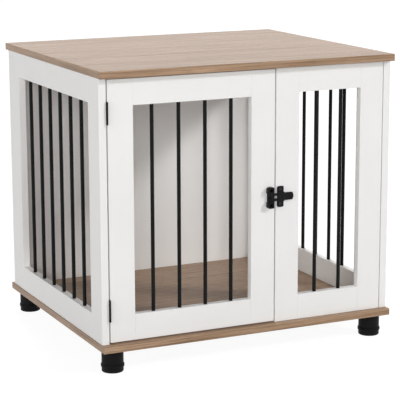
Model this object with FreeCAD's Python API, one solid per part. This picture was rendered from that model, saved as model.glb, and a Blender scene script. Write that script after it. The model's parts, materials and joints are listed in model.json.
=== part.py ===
import FreeCAD
import Part
import os

from FreeCAD import Vector

# Millimetres. The table stands on Z = 0, X runs to the right, Y to the back,
# and the origin lies under the middle of the two boards.

# Boards and case
table_width = 680.0
table_depth = 584.0
board_thickness = 15.0
board_edge_round = 1.0
case_height = 550.0
side_recess = 2.0
front_overhang = 15.0
frame_thickness = 16.0
back_thickness = 12.0
arris = 0.4

# Side frames
side_front_stile = 59.0
side_rear_stile = 67.0
side_rail = 55.0
side_bar_count = 6
side_bar_pitch = 62.25

# Door and fixed front frame
door_width = 377.0
door_gap = 3.0
side_joint_gap = 2.0
front_stile = 55.0
front_rail = 55.0
door_bar_count = 4
fixed_bar_count = 2
front_bar_pitch = 59.6

# Bars
bar_radius = 4.0
bar_socket_depth = 12.0
bar_socket_clearance = 0.05
bar_end_clearance = 1.0

# Dowels
dowel_radius = 3.0
dowel_length = 24.0
dowel_clearance = 0.05
rail_dowel_spacing = 30.0
back_dowel_inset = 60.0
fixed_dowel_inset = 90.0

# Cam fittings
cam_radius = 7.5
cam_thickness = 12.5
cam_recess = 0.2
cam_clearance = 0.05
cam_inset = 30.0
cam_bolt_radius = 3.0
cam_neck_radius = 2.0
cam_head_radius = 3.5
cam_head_length = 3.0
cam_neck_length = 5.0
cam_thread_depth = 9.0
cam_hook_clearance = 0.3
cam_slot_width = 1.2
cam_slot_length = 9.0
cam_slot_depth = 1.0

# Wood screws for the metal fittings and the feet
screw_radius = 1.75
screw_head_radius = 3.4
screw_head_height = 1.8
screw_rim = 0.3
screw_length = 14.0
screw_tip = 3.0
screw_clearance = 0.05
screw_cross_width = 0.8
screw_cross_length = 3.6
screw_cross_depth = 1.1

# Door hinges
hinge_height = 46.0
hinge_inset = 68.0
knuckle_count = 5
knuckle_radius = 1.8
knuckle_gap = 0.2
knuckle_forward = 3.0
leaf_thickness = 0.9
leaf_depth = 15.0
leaf_relief = 0.3
pin_radius = 0.85
pin_clearance = 0.05
pin_head_radius = 1.5
pin_head_height = 0.8
hinge_screw_spacing = 30.0

# Latch
latch_height = 338.0
latch_plate_height = 45.5
latch_plate_thickness = 1.6
latch_screw_spacing = 32.0
latch_arch_radius = 30.0
keeper_edge_gap = 3.0
keeper_width = 17.0
keeper_waist_height = 19.0
keeper_waist_inset = 1.9
keeper_lobe_width = 14.5
keeper_lobe_depth = 11.0
keeper_lobe_corner = 5.0
keeper_lobe_round = 1.2
keeper_cover = 1.2
keeper_horn_height = 5.2
keeper_horn_end = 2.2
keeper_hole_radius = 2.2
keeper_hole_inset = 9.5
housing_edge_gap = 2.6
housing_width = 15.4
housing_corner = 4.0
housing_wall = 2.0
housing_cover = 1.2
bolt_thickness = 2.4
bolt_clearance = 0.3
bolt_tongue_height = 5.6
bolt_tongue_length = 14.8
bolt_body_height = 16.4
bolt_tip_gap = 0.8
bolt_length = 37.4
bolt_end_radius = 13.0
bolt_hole_radius = 2.3
bolt_hole_depth = 1.6
bolt_hole_inset = 8.9
bolt_edge_round = 0.5
counterbore_clearance = 0.3

# Levelling feet
foot_height = 48.0
foot_inset_side = 32.0
foot_inset_front = 35.0
foot_radius = 23.0
foot_base_height = 17.0
foot_grip_radius = 24.6
foot_grip_height = 7.0
foot_grip_round = 1.5
foot_rim_round = 2.0
foot_stem_edge = 1.2
foot_roof = 5.0
foot_stem_radius = 15.0
foot_stem_clearance = 0.08
foot_stem_top_gap = 2.0
foot_screw_circle = 9.0
foot_screw_count = 3
foot_screw_turn = 30.0

# Heights and planes that follow from the sizes above
board_low = foot_height
case_bottom = board_low + board_thickness
case_top = case_bottom + case_height
table_top = case_top + board_thickness
side_outer = table_width / 2 - side_recess
side_inner = side_outer - frame_thickness
front_face = -table_depth / 2 + front_overhang
rear_face = -front_face
front_back_face = front_face + frame_thickness
side_open_front = front_face + side_front_stile
side_open_rear = rear_face - side_rear_stile
door_left = -side_inner + door_gap
door_right = door_left + door_width
fixed_left = door_right + door_gap
fixed_right = side_inner - side_joint_gap
door_bottom = case_bottom + door_gap
door_top = case_top - door_gap
hinge_x = -side_inner + door_gap / 2
hinge_y = front_face - knuckle_forward

pieces = {}
groups = {"frame_dowels": [], "door_dowels": [], "cam_bolts": [], "cam_discs": [],
          "case_screws": [], "door_screws": []}

ALONG_X = Vector(1, 0, 0)
ALONG_Y = Vector(0, 1, 0)
ALONG_Z = Vector(0, 0, 1)


def box(x0, x1, y0, y1, z0, z1):
    return Part.makeBox(x1 - x0, y1 - y0, z1 - z0, Vector(x0, y0, z0))


def rod(radius, start, direction, length):
    return Part.makeCylinder(radius, length, start, direction)


def eased_box(x0, x1, y0, y1, z0, z1, size):
    solid = box(x0, x1, y0, y1, z0, z1)
    return solid.makeChamfer(size, solid.Edges)


def drill(name, cutter):
    pieces[name] = pieces[name].cut(cutter)


def add_dowel(group, centre, direction, first, second):
    start = centre - direction * (dowel_length / 2)
    groups[group].append(rod(dowel_radius, start, direction, dowel_length))
    hole = rod(dowel_radius + dowel_clearance, start, direction, dowel_length)
    drill(first, hole)
    drill(second, hole)


def screw_solid(head, direction):
    # The head's flat face is at head and the screw runs along direction.
    cone_start = head + direction * screw_rim
    shank_start = head + direction * screw_head_height
    shank_length = screw_length - screw_head_height - screw_tip
    tip_start = shank_start + direction * shank_length
    solid = rod(screw_head_radius, head, direction, screw_rim)
    solid = solid.fuse(Part.makeCone(screw_head_radius, screw_radius,
                                     screw_head_height - screw_rim, cone_start, direction))
    solid = solid.fuse(rod(screw_radius, shank_start, direction, shank_length))
    solid = solid.fuse(Part.makeCone(screw_radius, 0.4, screw_tip, tip_start, direction))
    if abs(direction.x) > 0.5:
        sides = (ALONG_Y, ALONG_Z)
    elif abs(direction.y) > 0.5:
        sides = (ALONG_X, ALONG_Z)
    else:
        sides = (ALONG_X, ALONG_Y)
    for long_side, short_side in (sides, (sides[1], sides[0])):
        corner = (head - long_side * (screw_cross_length / 2)
                  - short_side * (screw_cross_width / 2))
        run = long_side * screw_cross_length
        width = short_side * screw_cross_width
        outline = Part.makePolygon([corner, corner + run, corner + run + width,
                                    corner + width, corner])
        solid = solid.cut(Part.Face(outline).extrude(direction * screw_cross_depth))
    return solid.removeSplitter()


def screw_hole(head, direction):
    wide = screw_head_radius + screw_clearance
    narrow = screw_radius + screw_clearance
    hole = rod(wide, head - direction * 0.5, direction, screw_rim + 0.5)
    hole = hole.fuse(Part.makeCone(wide, narrow, screw_head_height - screw_rim,
                                   head + direction * screw_rim, direction))
    return hole.fuse(rod(narrow, head + direction * screw_head_height, direction,
                         screw_length - screw_head_height + 0.2))


def add_screw(group, head, direction, names):
    groups[group].append(screw_solid(head, direction))
    hole = screw_hole(head, direction)
    for name in names:
        drill(name, hole)


def add_cam(panel, board, foot_point, up, inward):
    # foot_point is where the board meets the panel, up runs into the panel and
    # inward runs from the panel's open face to its middle.
    start = foot_point - up * cam_thread_depth
    reach = cam_thread_depth + cam_inset
    body_length = reach - cam_neck_length
    bolt = rod(cam_bolt_radius, start, up, body_length)
    bolt = bolt.fuse(rod(cam_neck_radius, start + up * body_length, up, cam_neck_length))
    head_start = start + up * reach
    bolt = bolt.fuse(rod(cam_head_radius, head_start, up, cam_head_length))
    groups["cam_bolts"].append(bolt)
    drill(board, rod(cam_bolt_radius + cam_clearance, start, up, cam_thread_depth))
    channel = cam_head_radius + cam_clearance
    drill(panel, rod(channel, foot_point, up, cam_inset))
    face_point = foot_point + up * cam_inset - inward * (frame_thickness / 2)
    pocket = rod(cam_radius + cam_clearance, face_point - inward, inward,
                 cam_recess + cam_thickness + 1)
    drill(panel, pocket)
    disc_start = face_point + inward * cam_recess
    disc = rod(cam_radius, disc_start, inward, cam_thickness)
    hook = cam_head_radius + cam_hook_clearance
    disc = disc.cut(rod(hook, head_start - up * (cam_radius + 1), up,
                        cam_radius + 1 + cam_head_length + cam_hook_clearance))
    across = up.cross(inward)
    for first, second in ((up, across), (across, up)):
        corner = (disc_start - first * (cam_slot_length / 2)
                  - second * (cam_slot_width / 2))
        run = first * cam_slot_length
        width = second * cam_slot_width
        outline = Part.makePolygon([corner, corner + run, corner + run + width,
                                    corner + width, corner])
        disc = disc.cut(Part.Face(outline).extrude(inward * cam_slot_depth))
    groups["cam_discs"].append(disc)


def add_bar(name, low_rail, high_rail, x, y, low, high):
    bottom = low - bar_socket_depth
    length = high - low + 2 * bar_socket_depth
    pieces[name] = rod(bar_radius, Vector(x, y, bottom), ALONG_Z, length - bar_end_clearance)
    hole = rod(bar_radius + bar_socket_clearance, Vector(x, y, bottom), ALONG_Z, length)
    drill(low_rail, hole)
    drill(high_rail, hole)


# Top and bottom boards
for name, low in (("top_board", case_top), ("bottom_board", board_low)):
    board = box(-table_width / 2, table_width / 2, -table_depth / 2, table_depth / 2,
                low, low + board_thickness)
    pieces[name] = board.makeFillet(board_edge_round, board.Edges)

# Back panel, between the side frames and flush with their rear edges
pieces["back_panel"] = eased_box(-side_inner, side_inner, rear_face - back_thickness,
                                 rear_face, case_bottom, case_top, arris)

# Side frames
side_rail_low = case_bottom + side_rail
side_rail_high = case_top - side_rail
side_middle = (side_open_front + side_open_rear) / 2
for side, sign in (("left", -1), ("right", 1)):
    x0 = min(sign * side_inner, sign * side_outer)
    x1 = x0 + frame_thickness
    centre_x = (x0 + x1) / 2
    pieces[side + "_front_stile"] = eased_box(
        x0, x1, front_face, side_open_front, case_bottom, case_top, arris)
    pieces[side + "_rear_stile"] = eased_box(
        x0, x1, side_open_rear, rear_face, case_bottom, case_top, arris)
    pieces[side + "_bottom_rail"] = eased_box(
        x0, x1, side_open_front, side_open_rear, case_bottom, side_rail_low, arris)
    pieces[side + "_top_rail"] = eased_box(
        x0, x1, side_open_front, side_open_rear, side_rail_high, case_top, arris)
    for index in range(side_bar_count):
        bar_y = side_middle + (index - (side_bar_count - 1) / 2) * side_bar_pitch
        add_bar(f"{side}_bar_{index + 1}", side + "_bottom_rail", side + "_top_rail",
                centre_x, bar_y, side_rail_low, side_rail_high)
    for rail, middle in (("_bottom_rail", case_bottom + side_rail / 2),
                         ("_top_rail", case_top - side_rail / 2)):
        for stile, joint_y in (("_front_stile", side_open_front),
                               ("_rear_stile", side_open_rear)):
            for step in (-0.5, 0.5):
                centre = Vector(centre_x, joint_y, middle + step * rail_dowel_spacing)
                add_dowel("frame_dowels", centre, ALONG_Y, side + rail, side + stile)
    inward = Vector(sign, 0, 0)
    for stile, stile_y in (("_front_stile", front_face + side_front_stile / 2),
                           ("_rear_stile", rear_face - side_rear_stile / 2)):
        add_cam(side + stile, "bottom_board", Vector(centre_x, stile_y, case_bottom),
                ALONG_Z, inward)
        add_cam(side + stile, "top_board", Vector(centre_x, stile_y, case_top),
                -ALONG_Z, inward)


def front_frame(prefix, names, left, right, bottom, top, bar_count, dowel_group):
    left_stile, right_stile = names
    middle_y = front_face + frame_thickness / 2
    open_left = left + front_stile
    open_right = right - front_stile
    open_low = bottom + front_rail
    open_high = top - front_rail
    pieces[left_stile] = eased_box(left, open_left, front_face, front_back_face,
                                   bottom, top, arris)
    pieces[right_stile] = eased_box(open_right, right, front_face, front_back_face,
                                    bottom, top, arris)
    low_rail = prefix + "_bottom_rail"
    high_rail = prefix + "_top_rail"
    pieces[low_rail] = eased_box(open_left, open_right, front_face, front_back_face,
                                 bottom, open_low, arris)
    pieces[high_rail] = eased_box(open_left, open_right, front_face, front_back_face,
                                  open_high, top, arris)
    middle_x = (open_left + open_right) / 2
    for index in range(bar_count):
        bar_x = middle_x + (index - (bar_count - 1) / 2) * front_bar_pitch
        add_bar(f"{prefix}_bar_{index + 1}", low_rail, high_rail, bar_x, middle_y,
                open_low, open_high)
    for rail, rail_z in ((low_rail, bottom + front_rail / 2), (high_rail, top - front_rail / 2)):
        for stile, joint_x in ((left_stile, open_left), (right_stile, open_right)):
            for step in (-0.5, 0.5):
                centre = Vector(joint_x, middle_y, rail_z + step * rail_dowel_spacing)
                add_dowel(dowel_group, centre, ALONG_X, rail, stile)


# Door and the fixed frame beside it
front_frame("door", ("door_hinge_stile", "door_latch_stile"), door_left, door_right,
            door_bottom, door_top, door_bar_count, "door_dowels")
front_frame("fixed", ("fixed_inner_stile", "fixed_outer_stile"), fixed_left, fixed_right,
            case_bottom, case_top, fixed_bar_count, "frame_dowels")

# The fixed frame is held by cams at its free stile and by dowels to the side frame
fixed_cam = Vector(fixed_left + front_stile / 2, front_face + frame_thickness / 2, case_bottom)
add_cam("fixed_inner_stile", "bottom_board", fixed_cam, ALONG_Z, -ALONG_Y)
fixed_cam.z = case_top
add_cam("fixed_inner_stile", "top_board", fixed_cam, -ALONG_Z, -ALONG_Y)
for height in (case_bottom + fixed_dowel_inset, (case_bottom + case_top) / 2,
               case_top - fixed_dowel_inset):
    centre = Vector(fixed_right + side_joint_gap / 2, front_face + frame_thickness / 2, height)
    add_dowel("frame_dowels", centre, ALONG_X, "fixed_outer_stile", "right_front_stile")

# The back panel is dowelled to both side frames and both boards
back_middle = rear_face - back_thickness / 2
for side, sign in (("left", -1), ("right", 1)):
    for height in (case_bottom + back_dowel_inset, (case_bottom + case_top) / 2,
                   case_top - back_dowel_inset):
        centre = Vector(sign * side_inner, back_middle, height)
        add_dowel("frame_dowels", centre, ALONG_X, "back_panel", side + "_rear_stile")
for board, height in (("bottom_board", case_bottom), ("top_board", case_top)):
    for dowel_x in (-side_inner + back_dowel_inset, 0, side_inner - back_dowel_inset):
        centre = Vector(dowel_x, back_middle, height)
        add_dowel("frame_dowels", centre, ALONG_Z, "back_panel", board)

# Hinges: each has a frame leaf, a door leaf and a pin, folded into the door's gap
knuckle_pitch = hinge_height / knuckle_count
leaf_start = knuckle_forward + leaf_depth + hinge_y
for place, middle in (("lower", door_bottom + hinge_inset), ("upper", door_top - hinge_inset)):
    low = middle - hinge_height / 2
    axis_low = Vector(hinge_x, hinge_y, low)
    for leaf, side, parity in (("frame", -1, 0), ("door", 1, 1)):
        outer = hinge_x + side * door_gap / 2
        inner = outer - side * leaf_thickness
        x0 = min(outer, inner)
        x1 = max(outer, inner)
        plate = box(x0, x1, hinge_y + knuckle_radius + leaf_relief, leaf_start,
                    low, low + hinge_height)
        for index in range(knuckle_count):
            z0 = low + index * knuckle_pitch + knuckle_gap / 2
            z1 = low + (index + 1) * knuckle_pitch - knuckle_gap / 2
            if index % 2 == parity:
                neck = box(x0, x1, hinge_y + knuckle_radius / 2, leaf_start, z0, z1)
                tube = rod(knuckle_radius, Vector(hinge_x, hinge_y, z0), ALONG_Z, z1 - z0)
                plate = plate.fuse(neck).fuse(tube)
        bore = rod(pin_radius + pin_clearance, axis_low - ALONG_Z, ALONG_Z, hinge_height + 2)
        pieces[f"{place}_hinge_{leaf}_leaf"] = plate.cut(bore).removeSplitter()
        wood = "left_front_stile" if leaf == "frame" else "door_hinge_stile"
        group = "case_screws" if leaf == "frame" else "door_screws"
        for step in (-0.5, 0.5):
            head = Vector(inner, front_face + leaf_depth / 2,
                          middle + step * hinge_screw_spacing)
            add_screw(group, head, Vector(side, 0, 0),
                      (f"{place}_hinge_{leaf}_leaf", wood))
    pin = rod(pin_radius, axis_low, ALONG_Z, hinge_height)
    pin = pin.fuse(rod(pin_head_radius, axis_low + ALONG_Z * (hinge_height - knuckle_gap / 2),
                       ALONG_Z, pin_head_height))
    pieces[place + "_hinge_pin"] = pin

# The latch's keeper and housing are straight sided with slightly arched ends
plate_front = front_face - latch_plate_thickness


def arched_plate(left, right, front):
    half = latch_plate_height / 2
    plate = box(left, right, front, front_face, latch_height - half, latch_height + half)
    for step in (-1, 1):
        centre = Vector((left + right) / 2, front - 1,
                        latch_height + step * (half - latch_arch_radius))
        plate = plate.common(rod(latch_arch_radius, centre, ALONG_Y, front_face - front + 2))
    return plate


def round_left_corners(plate, left, size, clear):
    # Corners closer than clear to the latch's own height stay sharp.
    corners = [edge for edge in plate.Edges
               if edge.BoundBox.YLength > latch_plate_thickness / 2
               and edge.BoundBox.XMax < left + 0.01
               and abs(edge.BoundBox.ZMax - latch_height) > clear]
    return plate.makeFillet(size, corners)


# Latch keeper on the door: two thick lobes joined by a hood that the bolt enters,
# and two guide horns that reach across the door's gap
tunnel_front = plate_front - bolt_thickness - 2 * bolt_clearance
tongue_half = bolt_tongue_height / 2 + bolt_clearance
keeper_right = door_right - keeper_edge_gap
keeper_left = keeper_right - keeper_width
waist_half = keeper_waist_height / 2
waist_left = keeper_left + keeper_waist_inset
hood_front = tunnel_front - keeper_cover
lobe_right = keeper_left + keeper_lobe_width
lobe_front = front_face - keeper_lobe_depth
hood = box(waist_left, keeper_right, hood_front, front_face,
           latch_height - waist_half - keeper_lobe_round,
           latch_height + waist_half + keeper_lobe_round)
hood = hood.makeFillet(1.0, [edge for edge in hood.Edges
                             if abs(edge.BoundBox.YMax - hood_front) < 0.01])
keeper = hood
for step in (-1, 1):
    lobe_end = latch_height + step * latch_plate_height
    lobe_start = latch_height + step * waist_half
    lobe = arched_plate(keeper_left, lobe_right, lobe_front).common(
        box(keeper_left - 1, lobe_right + 1, lobe_front - 1, front_face + 1,
            min(lobe_start, lobe_end), max(lobe_start, lobe_end)))
    lobe = round_left_corners(lobe, keeper_left, keeper_lobe_corner, waist_half + 1)
    lobe = lobe.makeFillet(keeper_lobe_round, [
        edge for edge in lobe.Edges if abs(edge.BoundBox.YMax - lobe_front) < 0.01])
    bore = rod(screw_head_radius + counterbore_clearance,
               Vector((keeper_left + lobe_right) / 2, lobe_front - 1,
                      latch_height + step * latch_screw_spacing / 2),
               ALONG_Y, plate_front - lobe_front + 1)
    keeper = keeper.fuse(lobe).cut(bore)
horn_half = tongue_half + keeper_horn_height
horn_right = fixed_left + keeper_horn_end
horns = box(keeper_right - 1, horn_right, tunnel_front, plate_front,
            latch_height - horn_half, latch_height + horn_half)
tunnel = box(keeper_left - 1, horn_right + 1, tunnel_front, plate_front,
             latch_height - tongue_half, latch_height + tongue_half)
cover_hole = rod(keeper_hole_radius,
                 Vector(keeper_right - keeper_hole_inset, hood_front - 1, latch_height),
                 ALONG_Y, tunnel_front - hood_front + 2)
pieces["latch_keeper"] = keeper.fuse(horns).cut(tunnel).cut(cover_hole).removeSplitter()

# Latch housing on the fixed frame
housing_left = fixed_left + housing_edge_gap
housing_right = housing_left + housing_width
body_half = bolt_body_height / 2 + bolt_clearance
housing_half = body_half + housing_wall
plate = round_left_corners(arched_plate(housing_left, housing_right, plate_front),
                           housing_left, housing_corner, waist_half)
housing_front = tunnel_front - housing_cover
bridge = box(housing_left, housing_right, housing_front, plate_front,
             latch_height - housing_half, latch_height + housing_half)
bridge = bridge.makeFillet(1.0, [edge for edge in bridge.Edges
                                 if abs(edge.BoundBox.YMax - housing_front) < 0.01])
tunnel = box(housing_left - 1, housing_right + 1, tunnel_front, plate_front,
             latch_height - body_half, latch_height + body_half)
pieces["latch_housing"] = plate.fuse(bridge).cut(tunnel).removeSplitter()

# Latch bolt: a narrow tongue and a guided bar with a blunt end and a blind hole
bolt_tip = horn_right + bolt_tip_gap
shoulder = bolt_tip + bolt_tongue_length
bolt_end = bolt_tip + bolt_length
end_centre = bolt_end - bolt_end_radius
bolt_back = plate_front - bolt_clearance
bolt_face = bolt_back - bolt_thickness
body_low = latch_height - bolt_body_height / 2
body_high = latch_height + bolt_body_height / 2
bolt = box(bolt_tip, shoulder + 1, bolt_face, bolt_back,
           latch_height - bolt_tongue_height / 2, latch_height + bolt_tongue_height / 2)
bolt = bolt.fuse(box(shoulder, end_centre, bolt_face, bolt_back, body_low, body_high))
end = rod(bolt_end_radius, Vector(end_centre, bolt_face, latch_height), ALONG_Y,
          bolt_thickness)
bolt = bolt.fuse(end.common(box(end_centre - 1, bolt_end + 1, bolt_face, bolt_back,
                                body_low, body_high)))
bolt = bolt.cut(rod(bolt_hole_radius,
                    Vector(bolt_end - bolt_hole_inset, bolt_face - 1, latch_height), ALONG_Y,
                    1 + bolt_hole_depth))
bolt = bolt.removeSplitter()
pieces["latch_bolt"] = bolt.makeFillet(bolt_edge_round, [
    edge for edge in bolt.Edges if abs(edge.BoundBox.YMax - bolt_face) < 0.01])

# The latch plates' screws
keeper_middle = (keeper_left + lobe_right) / 2
housing_middle = (housing_left + housing_right) / 2
for step in (-0.5, 0.5):
    screw_z = latch_height + step * latch_screw_spacing
    add_screw("door_screws", Vector(keeper_middle, plate_front, screw_z), ALONG_Y,
              ("latch_keeper", "door_latch_stile"))
    add_screw("case_screws", Vector(housing_middle, plate_front, screw_z), ALONG_Y,
              ("latch_housing", "fixed_inner_stile"))

# Feet: a sleeve screwed under the bottom board and a base that screws up into it
foot_x = table_width / 2 - foot_inset_side
foot_y = table_depth / 2 - foot_inset_front
bore_radius = foot_stem_radius + foot_stem_clearance
stem_top = foot_height - foot_roof - foot_stem_top_gap
for place, x, y in (("front_left", -foot_x, -foot_y), ("front_right", foot_x, -foot_y),
                    ("rear_left", -foot_x, foot_y), ("rear_right", foot_x, foot_y)):
    ground = Vector(x, y, 0)
    sleeve = rod(foot_radius, ground + ALONG_Z * foot_base_height, ALONG_Z,
                 foot_height - foot_base_height)
    bore = rod(bore_radius, ground, ALONG_Z, foot_height - foot_roof)
    pieces[place + "_foot_sleeve"] = sleeve.cut(bore)
    grip_low = foot_base_height - foot_grip_height
    base = rod(foot_radius, ground, ALONG_Z, grip_low)
    base = base.makeFillet(foot_rim_round, [
        edge for edge in base.Edges if edge.BoundBox.ZMax < 0.01])
    grip = rod(foot_grip_radius, ground + ALONG_Z * grip_low, ALONG_Z, foot_grip_height)
    grip = grip.makeFillet(foot_grip_round, [
        edge for edge in grip.Edges if edge.BoundBox.ZLength < 0.01])
    stem = rod(foot_stem_radius, ground + ALONG_Z * grip_low, ALONG_Z, stem_top - grip_low)
    stem = stem.makeChamfer(foot_stem_edge, [
        edge for edge in stem.Edges if edge.BoundBox.ZMin > stem_top - 0.01])
    pieces[place + "_foot_base"] = base.fuse(grip).fuse(stem).removeSplitter()
    for index in range(foot_screw_count):
        turn = FreeCAD.Rotation(ALONG_Z, foot_screw_turn + index * 360 / foot_screw_count)
        head = ground + turn.multVec(ALONG_X * foot_screw_circle)
        head.z = foot_height - foot_roof
        add_screw("case_screws", head, ALONG_Z, (place + "_foot_sleeve", "bottom_board"))

for name, solids in groups.items():
    pieces[name] = Part.makeCompound(solids)

os.makedirs("parts", exist_ok=True)
for name, shape in pieces.items():
    expected = len(groups[name]) if name in groups else 1
    if not shape.isValid() or len(shape.Solids) != expected:
        raise ValueError(f"{name} has {len(shape.Solids)} solids, valid {shape.isValid()}")
    shape.exportStep(os.path.join("parts", name + ".step"))
print(len(pieces), "nodes, table", table_width, "x", table_depth, "x", table_top)
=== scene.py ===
import json
import math

import bpy
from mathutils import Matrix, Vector


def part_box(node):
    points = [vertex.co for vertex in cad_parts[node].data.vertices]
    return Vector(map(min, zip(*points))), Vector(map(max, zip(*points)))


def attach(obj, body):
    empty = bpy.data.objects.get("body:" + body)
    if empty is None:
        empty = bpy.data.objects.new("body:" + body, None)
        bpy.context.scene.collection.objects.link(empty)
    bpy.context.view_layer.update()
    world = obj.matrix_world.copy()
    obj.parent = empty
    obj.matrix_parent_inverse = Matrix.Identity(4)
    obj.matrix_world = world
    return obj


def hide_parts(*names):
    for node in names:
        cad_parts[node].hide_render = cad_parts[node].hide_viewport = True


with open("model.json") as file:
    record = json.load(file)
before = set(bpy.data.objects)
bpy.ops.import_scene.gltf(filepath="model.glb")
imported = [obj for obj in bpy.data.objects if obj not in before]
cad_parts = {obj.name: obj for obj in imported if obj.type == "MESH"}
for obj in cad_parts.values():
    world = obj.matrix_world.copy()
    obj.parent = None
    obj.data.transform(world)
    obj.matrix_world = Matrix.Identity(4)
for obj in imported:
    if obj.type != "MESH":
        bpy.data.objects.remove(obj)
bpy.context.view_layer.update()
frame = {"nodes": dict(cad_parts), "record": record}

bpy.ops.object.select_all(action="DESELECT")

record = frame["record"]
bodyOfNode = {node: body for body, nodes in record["behaviour"]["bodies"].items() for node in nodes}
slotOfNode = {part["node"]: part["material_slot"] for part in record["subparts"]}


# camera, at the photographer's place: low, to the left of the door's corner
viewpoint = {
    "place": (-1.4945, -3.2121, 1.0318),
    "turn": (78.0818, 0.1805, -25.1945),
    "lens": 144.18,
    "sensor": 36.0,
    "nearest": 0.05,
    "farthest": 200,
}


def makeCamera():
    bpy.ops.object.camera_add(location=viewpoint["place"],
                              rotation=[math.radians(angle) for angle in viewpoint["turn"]])
    camera = bpy.context.object
    camera.name = "photoCamera"
    camera.data.lens = viewpoint["lens"]
    camera.data.sensor_width = viewpoint["sensor"]
    camera.data.sensor_fit = "HORIZONTAL"
    camera.data.clip_start = viewpoint["nearest"]
    camera.data.clip_end = viewpoint["farthest"]
    bpy.context.scene.camera = camera
    camera.select_set(False)


makeCamera()
print("camera placed")


# small helpers for material nodes

def startMaterial(name, roughness):
    material = bpy.data.materials.new(name)
    material.use_nodes = True
    nodes = material.node_tree.nodes
    shader = nodes["Principled BSDF"]
    shader.inputs["Roughness"].default_value = roughness
    return material, nodes, material.node_tree.links, shader


def stretchedCoordinates(nodes, links, scale=(1, 1, 1)):
    place = nodes.new("ShaderNodeTexCoord")
    mapping = nodes.new("ShaderNodeMapping")
    mapping.inputs["Scale"].default_value = scale
    links.new(place.outputs["Object"], mapping.inputs["Vector"])
    return mapping.outputs["Vector"]


def addNoise(nodes, links, vector, scale, detail=4.0, roughness=0.5, distortion=0.0):
    noise = nodes.new("ShaderNodeTexNoise")
    noise.inputs["Scale"].default_value = scale
    noise.inputs["Detail"].default_value = detail
    noise.inputs["Roughness"].default_value = roughness
    noise.inputs["Distortion"].default_value = distortion
    links.new(vector, noise.inputs["Vector"])
    return noise.outputs["Fac"]


def addRamp(nodes, links, factor, stops):
    ramp = nodes.new("ShaderNodeValToRGB")
    points = ramp.color_ramp.elements
    while len(points) < len(stops):
        points.new(0.5)
    for point, (position, colour) in zip(points, stops):
        point.position = position
        point.color = (*colour, 1.0)
    links.new(factor, ramp.inputs["Fac"])
    return ramp.outputs["Color"]


def addRange(nodes, links, value, fromLow, fromHigh, toLow, toHigh):
    node = nodes.new("ShaderNodeMapRange")
    node.inputs["From Min"].default_value = fromLow
    node.inputs["From Max"].default_value = fromHigh
    node.inputs["To Min"].default_value = toLow
    node.inputs["To Max"].default_value = toHigh
    links.new(value, node.inputs["Value"])
    return node.outputs["Result"]


def multiplyColours(nodes, links, first, second, amount):
    mix = nodes.new("ShaderNodeMix")
    mix.data_type = "RGBA"
    mix.blend_type = "MULTIPLY"
    mix.inputs["Factor"].default_value = amount
    links.new(first, mix.inputs["A"])
    links.new(second, mix.inputs["B"])
    return mix.outputs["Result"]


def addBump(nodes, links, shader, height, strength, distance, under=None):
    bump = nodes.new("ShaderNodeBump")
    bump.inputs["Strength"].default_value = strength
    bump.inputs["Distance"].default_value = distance
    links.new(height, bump.inputs["Height"])
    if under is not None:
        links.new(under, bump.inputs["Normal"])
    links.new(bump.outputs["Normal"], shader.inputs["Normal"])
    return bump.outputs["Normal"]


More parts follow.
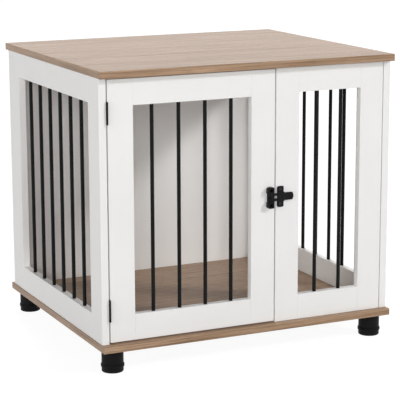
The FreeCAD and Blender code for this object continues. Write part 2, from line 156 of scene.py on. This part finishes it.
def oakGrain():
    # pale brown oak with its grain along X, and along Y on the short edges
    tones = {
        "dark": (0.405, 0.266, 0.170),
        "middle": (0.450, 0.300, 0.195),
        "light": (0.505, 0.343, 0.228),
        "streak": (0.50, 0.46, 0.42),
        "pore": (0.50, 0.45, 0.41),
    }
    material, nodes, links, shader = startMaterial("oakGrain", 0.25)
    shader.inputs["Specular IOR Level"].default_value = 0.12
    place = nodes.new("ShaderNodeTexCoord")
    parts = nodes.new("ShaderNodeSeparateXYZ")
    links.new(place.outputs["Object"], parts.inputs["Vector"])
    turned = nodes.new("ShaderNodeCombineXYZ")
    links.new(parts.outputs["Y"], turned.inputs["X"])
    links.new(parts.outputs["X"], turned.inputs["Y"])
    links.new(parts.outputs["Z"], turned.inputs["Z"])
    facing = nodes.new("ShaderNodeSeparateXYZ")
    links.new(place.outputs["Normal"], facing.inputs["Vector"])
    sideways = nodes.new("ShaderNodeMath")
    sideways.operation = "ABSOLUTE"
    links.new(facing.outputs["X"], sideways.inputs[0])
    onShortEdge = nodes.new("ShaderNodeMath")
    onShortEdge.operation = "GREATER_THAN"
    onShortEdge.inputs[1].default_value = 0.7
    links.new(sideways.outputs["Value"], onShortEdge.inputs[0])
    along = nodes.new("ShaderNodeMix")
    along.data_type = "VECTOR"
    links.new(onShortEdge.outputs["Value"], along.inputs["Factor"])
    links.new(place.outputs["Object"], along.inputs["A"])
    links.new(turned.outputs["Vector"], along.inputs["B"])
    grainPlace = along.outputs["Result"]

    def stretch(scale, shift=(0, 0, 0)):
        mapping = nodes.new("ShaderNodeMapping")
        mapping.inputs["Scale"].default_value = scale
        mapping.inputs["Location"].default_value = shift
        links.new(grainPlace, mapping.inputs["Vector"])
        return mapping.outputs["Vector"]

    figure = addNoise(nodes, links, stretch((1.6, 30, 30)), 1.0, 6.0, 0.62, 0.8)
    base = addRamp(nodes, links, figure, [(0.30, tones["dark"]), (0.50, tones["middle"]),
                                          (0.70, tones["light"])])
    strokes = addNoise(nodes, links, stretch((4, 120, 120), (3, 1, 2)), 1.0, 4.0, 0.6, 0.4)
    strokeTone = addRamp(nodes, links, strokes, [(0.34, tones["streak"]), (0.56, (1, 1, 1))])
    base = multiplyColours(nodes, links, base, strokeTone, 0.35)
    streaks = addNoise(nodes, links, stretch((5, 340, 340)), 1.0, 5.0, 0.6, 0.3)
    streakTone = addRamp(nodes, links, streaks, [(0.34, tones["streak"]), (0.56, (1, 1, 1))])
    base = multiplyColours(nodes, links, base, streakTone, 0.9)
    pores = addNoise(nodes, links, stretch((30, 1000, 1000)), 1.0, 3.0, 0.5)
    poreTone = addRamp(nodes, links, pores, [(0.33, tones["pore"]), (0.42, (1, 1, 1))])
    base = multiplyColours(nodes, links, base, poreTone, 0.7)
    links.new(base, shader.inputs["Base Color"])
    links.new(addRange(nodes, links, streaks, 0.3, 0.7, 0.32, 0.20), shader.inputs["Roughness"])
    fine = addBump(nodes, links, shader, pores, 0.25, 0.0003)
    addBump(nodes, links, shader, streaks, 0.15, 0.0005, fine)
    return material


def whitePaint():
    material, nodes, links, shader = startMaterial("whitePaint", 0.38)
    place = stretchedCoordinates(nodes, links)
    cloud = addNoise(nodes, links, place, 7.0, 3.0, 0.5)
    tone = addRamp(nodes, links, cloud, [(0.3, (0.835, 0.826, 0.812)), (0.7, (0.862, 0.855, 0.844))])
    links.new(tone, shader.inputs["Base Color"])
    film = addNoise(nodes, links, place, 520.0, 2.0, 0.5)
    links.new(addRange(nodes, links, cloud, 0.3, 0.7, 0.34, 0.44), shader.inputs["Roughness"])
    addBump(nodes, links, shader, film, 0.06, 0.0004)
    return material


def powderCoat():
    material, nodes, links, shader = startMaterial("powderCoat", 0.42)
    shader.inputs["Specular IOR Level"].default_value = 0.12
    place = stretchedCoordinates(nodes, links)
    grain = addNoise(nodes, links, place, 1500.0, 2.0, 0.6)
    drift = addNoise(nodes, links, place, 26.0, 2.0, 0.5)
    tone = addRamp(nodes, links, drift, [(0.3, (0.0042, 0.0044, 0.0046)), (0.7, (0.0080, 0.0082, 0.0083))])
    links.new(tone, shader.inputs["Base Color"])
    links.new(addRange(nodes, links, grain, 0.3, 0.7, 0.36, 0.52), shader.inputs["Roughness"])
    addBump(nodes, links, shader, grain, 0.18, 0.0002)
    return material


def mouldedPlastic():
    material, nodes, links, shader = startMaterial("mouldedPlastic", 0.5)
    shader.inputs["Specular IOR Level"].default_value = 0.09
    place = stretchedCoordinates(nodes, links)
    spark = addNoise(nodes, links, place, 900.0, 3.0, 0.6)
    drift = addNoise(nodes, links, place, 40.0, 2.0, 0.5)
    tone = addRamp(nodes, links, drift, [(0.3, (0.0055, 0.0055, 0.0057)), (0.7, (0.0090, 0.0090, 0.0092))])
    links.new(tone, shader.inputs["Base Color"])
    links.new(addRange(nodes, links, spark, 0.3, 0.7, 0.44, 0.6), shader.inputs["Roughness"])
    addBump(nodes, links, shader, spark, 0.22, 0.0003)
    return material


def blackScrewSteel():
    material, nodes, links, shader = startMaterial("blackScrewSteel", 0.35)
    shader.inputs["Metallic"].default_value = 0.6
    place = stretchedCoordinates(nodes, links)
    turning = addNoise(nodes, links, place, 1800.0, 2.0, 0.5)
    tone = addRamp(nodes, links, turning, [(0.3, (0.018, 0.018, 0.019)), (0.7, (0.035, 0.035, 0.036))])
    links.new(tone, shader.inputs["Base Color"])
    links.new(addRange(nodes, links, turning, 0.3, 0.7, 0.3, 0.45), shader.inputs["Roughness"])
    return material


def beechDowel():
    material, nodes, links, shader = startMaterial("beechDowel", 0.6)
    place = stretchedCoordinates(nodes, links, (60, 400, 400))
    grain = addNoise(nodes, links, place, 1.0, 4.0, 0.6)
    tone = addRamp(nodes, links, grain, [(0.3, (0.48, 0.31, 0.17)), (0.7, (0.62, 0.43, 0.26))])
    links.new(tone, shader.inputs["Base Color"])
    addBump(nodes, links, shader, grain, 0.2, 0.0002)
    return material


def zincPlate():
    material, nodes, links, shader = startMaterial("zincPlate", 0.38)
    shader.inputs["Metallic"].default_value = 1.0
    place = stretchedCoordinates(nodes, links)
    spangle = addNoise(nodes, links, place, 600.0, 3.0, 0.6)
    tone = addRamp(nodes, links, spangle, [(0.3, (0.48, 0.48, 0.47)), (0.7, (0.62, 0.62, 0.60))])
    links.new(tone, shader.inputs["Base Color"])
    links.new(addRange(nodes, links, spangle, 0.3, 0.7, 0.3, 0.48), shader.inputs["Roughness"])
    return material


finishes = {
    "wood_grain_board": oakGrain(),
    "white_paint": whitePaint(),
    "black_bar": powderCoat(),
    "black_plastic": mouldedPlastic(),
    "black_screw": blackScrewSteel(),
    "dowel_wood": beechDowel(),
    "zinc_fitting": zincPlate(),
}
finishes["black_hinge"] = finishes["black_bar"]
finishes["black_latch"] = finishes["black_bar"]

for node, cadPiece in frame["nodes"].items():
    cadPiece.data.materials.clear()
    cadPiece.data.materials.append(finishes[slotOfNode[node]])
print("finishes mixed")


def pieceName(node):
    words = node.split("_")
    return words[0] + "".join(word.capitalize() for word in words[1:])


def standsFor(piece, node):
    # the piece takes the node's place, finish and body
    bpy.ops.object.transform_apply(location=True, rotation=True, scale=True)
    piece.data.materials.clear()
    piece.data.materials.append(finishes[slotOfNode[node]])
    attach(piece, bodyOfNode[node])
    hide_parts(node)
    piece.select_set(False)


def namePiece(node):
    piece = bpy.context.object
    piece.name = pieceName(node)
    piece.data.name = piece.name
    return piece


def softenEdges(piece, width, segments, angle=35):
    bpy.ops.object.shade_smooth()
    bevel = piece.modifiers.new("softEdges", "BEVEL")
    bevel.width = width
    bevel.segments = segments
    bevel.limit_method = "ANGLE"
    bevel.angle_limit = math.radians(angle)
    bevel.harden_normals = True
    bpy.ops.object.modifier_apply(modifier=bevel.name)


def squaredPiece(node, width, segments):
    low, high = (Vector(corner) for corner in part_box(node))
    bpy.ops.mesh.primitive_cube_add(size=1, location=(low + high) / 2, scale=high - low)
    piece = namePiece(node)
    bpy.ops.object.transform_apply(location=True, rotation=True, scale=True)
    softenEdges(piece, width, segments)
    standsFor(piece, node)


# the two wood-grain boards
boards = {"nodes": ("top_board", "bottom_board"), "edgeRound": 0.0011, "segments": 4}
for node in boards["nodes"]:
    squaredPiece(node, boards["edgeRound"], boards["segments"])
print("boards made")


# white stiles, rails and the back panel
paintedFrames = {"arris": 0.0006, "segments": 3}
paintedNodes = [node for node, slot in slotOfNode.items() if slot == "white_paint"]
for node in paintedNodes:
    squaredPiece(node, paintedFrames["arris"], paintedFrames["segments"])
print("painted frames made:", len(paintedNodes))


# round bars, with a small chamfer at each end
bars = {"sides": 40, "endChamfer": 0.0004, "segments": 2, "sharpAngle": 50, "smoothAngle": 40}
barNodes = [node for node, slot in slotOfNode.items() if slot == "black_bar"]
for node in barNodes:
    low, high = (Vector(corner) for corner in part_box(node))
    bpy.ops.mesh.primitive_cylinder_add(vertices=bars["sides"], radius=(high.x - low.x) / 2,
                                        depth=high.z - low.z, location=(low + high) / 2)
    piece = namePiece(node)
    softenEdges(piece, bars["endChamfer"], bars["segments"], bars["sharpAngle"])
    bpy.ops.object.shade_smooth_by_angle(angle=math.radians(bars["smoothAngle"]))
    standsFor(piece, node)
print("bars made:", len(barNodes))


# levelling feet: a plain sleeve, and a base with a rounded ring and a threaded stem
feet = {
    "sides": 72,
    "sleeveRadius": 0.023, "boreRadius": 0.0151, "boreDepth": 0.026,
    "sleeveEdge": 0.0004, "sleeveSegments": 2, "sleeveSharp": 50, "sleeveSmooth": 40,
    "ringRadius": 0.0246, "ringLow": 0.010, "ringHigh": 0.017, "ringRound": 0.0015,
    "baseRadius": 0.023, "rimRound": 0.002, "roundSegments": 5, "baseSmooth": 35,
    "stemRadius": 0.015, "stemTop": 0.041, "stemPitch": 0.003, "stemDepth": 0.0006, "plainTop": 0.002,
    "near": 0.00001,
}


def facesAt(piece, height, upward):
    # selects the flat faces at this height that look up or down
    bpy.ops.mesh.select_all(action="DESELECT")
    bpy.ops.object.mode_set(mode="OBJECT")
    for polygon in piece.data.polygons:
        level = (piece.matrix_world @ polygon.center).z
        if abs(level - height) < feet["near"] and polygon.normal.z * upward > 0.9:
            polygon.select = True
    bpy.ops.object.mode_set(mode="EDIT")


def footSleeve(node):
    low, high = (Vector(corner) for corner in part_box(node))
    bpy.ops.mesh.primitive_cylinder_add(vertices=feet["sides"], radius=feet["sleeveRadius"],
                                        depth=high.z - low.z, location=(low + high) / 2)
    piece = namePiece(node)
    bpy.ops.object.mode_set(mode="EDIT")
    bpy.ops.mesh.select_mode(type="FACE")
    facesAt(piece, low.z, -1)
    bpy.ops.mesh.inset(thickness=feet["sleeveRadius"] - feet["boreRadius"])
    bpy.ops.mesh.extrude_region_move(TRANSFORM_OT_translate={"value": (0, 0, feet["boreDepth"])})
    bpy.ops.object.mode_set(mode="OBJECT")
    softenEdges(piece, feet["sleeveEdge"], feet["sleeveSegments"], feet["sleeveSharp"])
    bpy.ops.object.shade_smooth_by_angle(angle=math.radians(feet["sleeveSmooth"]))
    standsFor(piece, node)


def roundLevelEdges(piece, radius, width, highest):
    # bevels the level edges of this radius, from the ground up to the height given
    bpy.ops.object.mode_set(mode="EDIT")
    bpy.ops.mesh.select_mode(type="EDGE")
    bpy.ops.mesh.select_all(action="DESELECT")
    bpy.ops.object.mode_set(mode="OBJECT")
    for edge in piece.data.edges:
        ends = [piece.data.vertices[index].co for index in edge.vertices]
        heights = [end.z + piece.location.z for end in ends]
        level = abs(heights[0] - heights[1]) < feet["near"]
        onRadius = all(abs(math.hypot(end.x, end.y) - radius) < feet["near"] for end in ends)
        edge.select = level and onRadius and heights[0] < highest + feet["near"]
    bpy.ops.object.mode_set(mode="EDIT")
    bpy.ops.mesh.bevel(offset=width, segments=feet["roundSegments"], profile=0.5, affect="EDGES")
    bpy.ops.object.mode_set(mode="OBJECT")


def footBase(node):
    low, high = (Vector(corner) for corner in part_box(node))
    middle = (low + high) / 2
    bpy.ops.mesh.primitive_cylinder_add(
        vertices=feet["sides"], radius=feet["baseRadius"], depth=feet["ringLow"],
        location=(middle.x, middle.y, feet["ringLow"] / 2))
    piece = namePiece(node)
    bpy.ops.object.mode_set(mode="EDIT")
    bpy.ops.mesh.select_mode(type="FACE")
    facesAt(piece, feet["ringLow"], 1)
    centre = (middle.x, middle.y, 0)

    def step(rise, widen):
        bpy.ops.mesh.extrude_region_move(TRANSFORM_OT_translate={"value": (0, 0, rise)})
        if widen != 1:
            bpy.ops.transform.resize(value=(widen, widen, 1), center_override=centre)

    step(0, feet["ringRadius"] / feet["baseRadius"])
    step(feet["ringHigh"] - feet["ringLow"], 1)
    step(0, feet["stemRadius"] / feet["ringRadius"])
    height = feet["ringHigh"]
    groove = 1 - feet["stemDepth"] / feet["stemRadius"]
    while height + feet["stemPitch"] < feet["stemTop"] - feet["plainTop"]:
        step(feet["stemPitch"] / 2, groove)
        step(feet["stemPitch"] / 2, 1 / groove)
        height += feet["stemPitch"]
    step(feet["stemTop"] - height, 1)
    bpy.ops.mesh.select_all(action="DESELECT")
    bpy.ops.object.mode_set(mode="OBJECT")
    roundLevelEdges(piece, feet["ringRadius"], feet["ringRound"], feet["ringHigh"])
    roundLevelEdges(piece, feet["baseRadius"], feet["rimRound"], 0)
    bpy.ops.object.shade_smooth_by_angle(angle=math.radians(feet["baseSmooth"]))
    standsFor(piece, node)


for corner in ("front_left", "front_right", "rear_left", "rear_right"):
    footSleeve(corner + "_foot_sleeve")
    footBase(corner + "_foot_base")
print("feet made")


# latch and hinges: merged copies with softened edges
metalwork = {
    "edges": {
        "latch_keeper": 0.0004, "latch_housing": 0.0004, "latch_bolt": 0.0003,
        "upper_hinge_frame_leaf": 0.0002, "upper_hinge_door_leaf": 0.0002,
        "lower_hinge_frame_leaf": 0.0002, "lower_hinge_door_leaf": 0.0002,
        "upper_hinge_pin": 0.0002, "lower_hinge_pin": 0.0002,
    },
    "segments": 2, "sharpAngle": 40, "smoothAngle": 30,
    "mergeWithin": 0.000002, "flatWithin": 0.6,
}


def softenedCopy(node, width):
    mesh = frame["nodes"][node].data.copy()
    piece = bpy.data.objects.new(pieceName(node), mesh)
    bpy.context.scene.collection.objects.link(piece)
    mesh.name = piece.name
    bpy.context.view_layer.objects.active = piece
    piece.select_set(True)
    bpy.ops.object.mode_set(mode="EDIT")
    bpy.ops.mesh.select_all(action="SELECT")
    bpy.ops.mesh.remove_doubles(threshold=metalwork["mergeWithin"])
    bpy.ops.mesh.dissolve_limited(angle_limit=math.radians(metalwork["flatWithin"]))
    bpy.ops.object.mode_set(mode="OBJECT")
    softenEdges(piece, width, metalwork["segments"], metalwork["sharpAngle"])
    bpy.ops.object.shade_smooth_by_angle(angle=math.radians(metalwork["smoothAngle"]))
    standsFor(piece, node)


for node, width in metalwork["edges"].items():
    softenedCopy(node, width)
print("metalwork made")


# floor, backdrop and light
studio = {
    "floorSize": 60.0,
    "floorGlow": 0.93, "floorTone": 0.15, "bounceTone": 0.5,
    "skyStrength": 0.12, "backdropStrength": 1.0,
    "keyLamp": {"place": (9.3, -8.2, 7.2), "size": 2.0, "power": 920},
    "fillLamp": {"place": (-8.2, -3.0, 2.7), "size": 5.0, "power": 265},
    "frontLamp": {"place": (-3.9, -8.3, 2.3), "size": 3.0, "power": 315},
    "backLamp": {"place": (1.6, 5.4, 7.6), "size": 3.0, "power": 620},
    "lampAim": (0, 0, 0.33),
}


def seenDirectly(nodes, links):
    # 1 for camera, mirror and see-through rays, 0 for rays that only light things
    path = nodes.new("ShaderNodeLightPath")
    first = nodes.new("ShaderNodeMath")
    first.operation = "MAXIMUM"
    links.new(path.outputs["Is Camera Ray"], first.inputs[0])
    links.new(path.outputs["Is Glossy Ray"], first.inputs[1])
    second = nodes.new("ShaderNodeMath")
    second.operation = "MAXIMUM"
    links.new(first.outputs["Value"], second.inputs[0])
    links.new(path.outputs["Is Transmission Ray"], second.inputs[1])
    return second.outputs["Value"]


def makeFloor():
    bpy.ops.mesh.primitive_plane_add(size=studio["floorSize"], location=(0, 0, 0))
    floor = bpy.context.object
    floor.name = "studioFloor"
    material = bpy.data.materials.new("studioFloor")
    material.use_nodes = True
    nodes = material.node_tree.nodes
    links = material.node_tree.links
    nodes.clear()
    output = nodes.new("ShaderNodeOutputMaterial")
    bounce = nodes.new("ShaderNodeBsdfDiffuse")
    bounce.inputs["Color"].default_value = (*[studio["bounceTone"]] * 3, 1)
    shown = nodes.new("ShaderNodeBsdfDiffuse")
    shown.inputs["Color"].default_value = (*[studio["floorTone"]] * 3, 1)
    glow = nodes.new("ShaderNodeEmission")
    glow.inputs["Strength"].default_value = studio["floorGlow"]
    together = nodes.new("ShaderNodeAddShader")
    links.new(shown.outputs["BSDF"], together.inputs[0])
    links.new(glow.outputs["Emission"], together.inputs[1])
    choice = nodes.new("ShaderNodeMixShader")
    links.new(seenDirectly(nodes, links), choice.inputs["Fac"])
    links.new(bounce.outputs["BSDF"], choice.inputs[1])
    links.new(together.outputs["Shader"], choice.inputs[2])
    links.new(choice.outputs["Shader"], output.inputs["Surface"])
    floor.data.materials.append(material)
    floor.select_set(False)


def makeSky():
    world = bpy.data.worlds.new("paleStudio")
    bpy.context.scene.world = world
    world.use_nodes = True
    nodes = world.node_tree.nodes
    links = world.node_tree.links
    background = nodes["Background"]
    background.inputs["Color"].default_value = (1, 1, 1, 1)
    strength = addRange(nodes, links, seenDirectly(nodes, links), 0, 1,
                        studio["skyStrength"], studio["backdropStrength"])
    links.new(strength, background.inputs["Strength"])


def makeLamp(name):
    settings = studio[name]
    place = Vector(settings["place"])
    aim = Vector(studio["lampAim"]) - place
    bpy.ops.object.light_add(type="AREA", location=place, rotation=aim.to_track_quat("-Z", "Y").to_euler())
    lamp = bpy.context.object
    lamp.name = name
    lamp.data.shape = "DISK"
    lamp.data.size = settings["size"]
    lamp.data.energy = settings["power"]
    lamp.visible_glossy = False
    lamp.select_set(False)


makeFloor()
makeSky()
for name in ("keyLamp", "fillLamp", "frontLamp", "backLamp"):
    makeLamp(name)
bpy.context.scene.view_settings.view_transform = "Standard"
print("studio set")
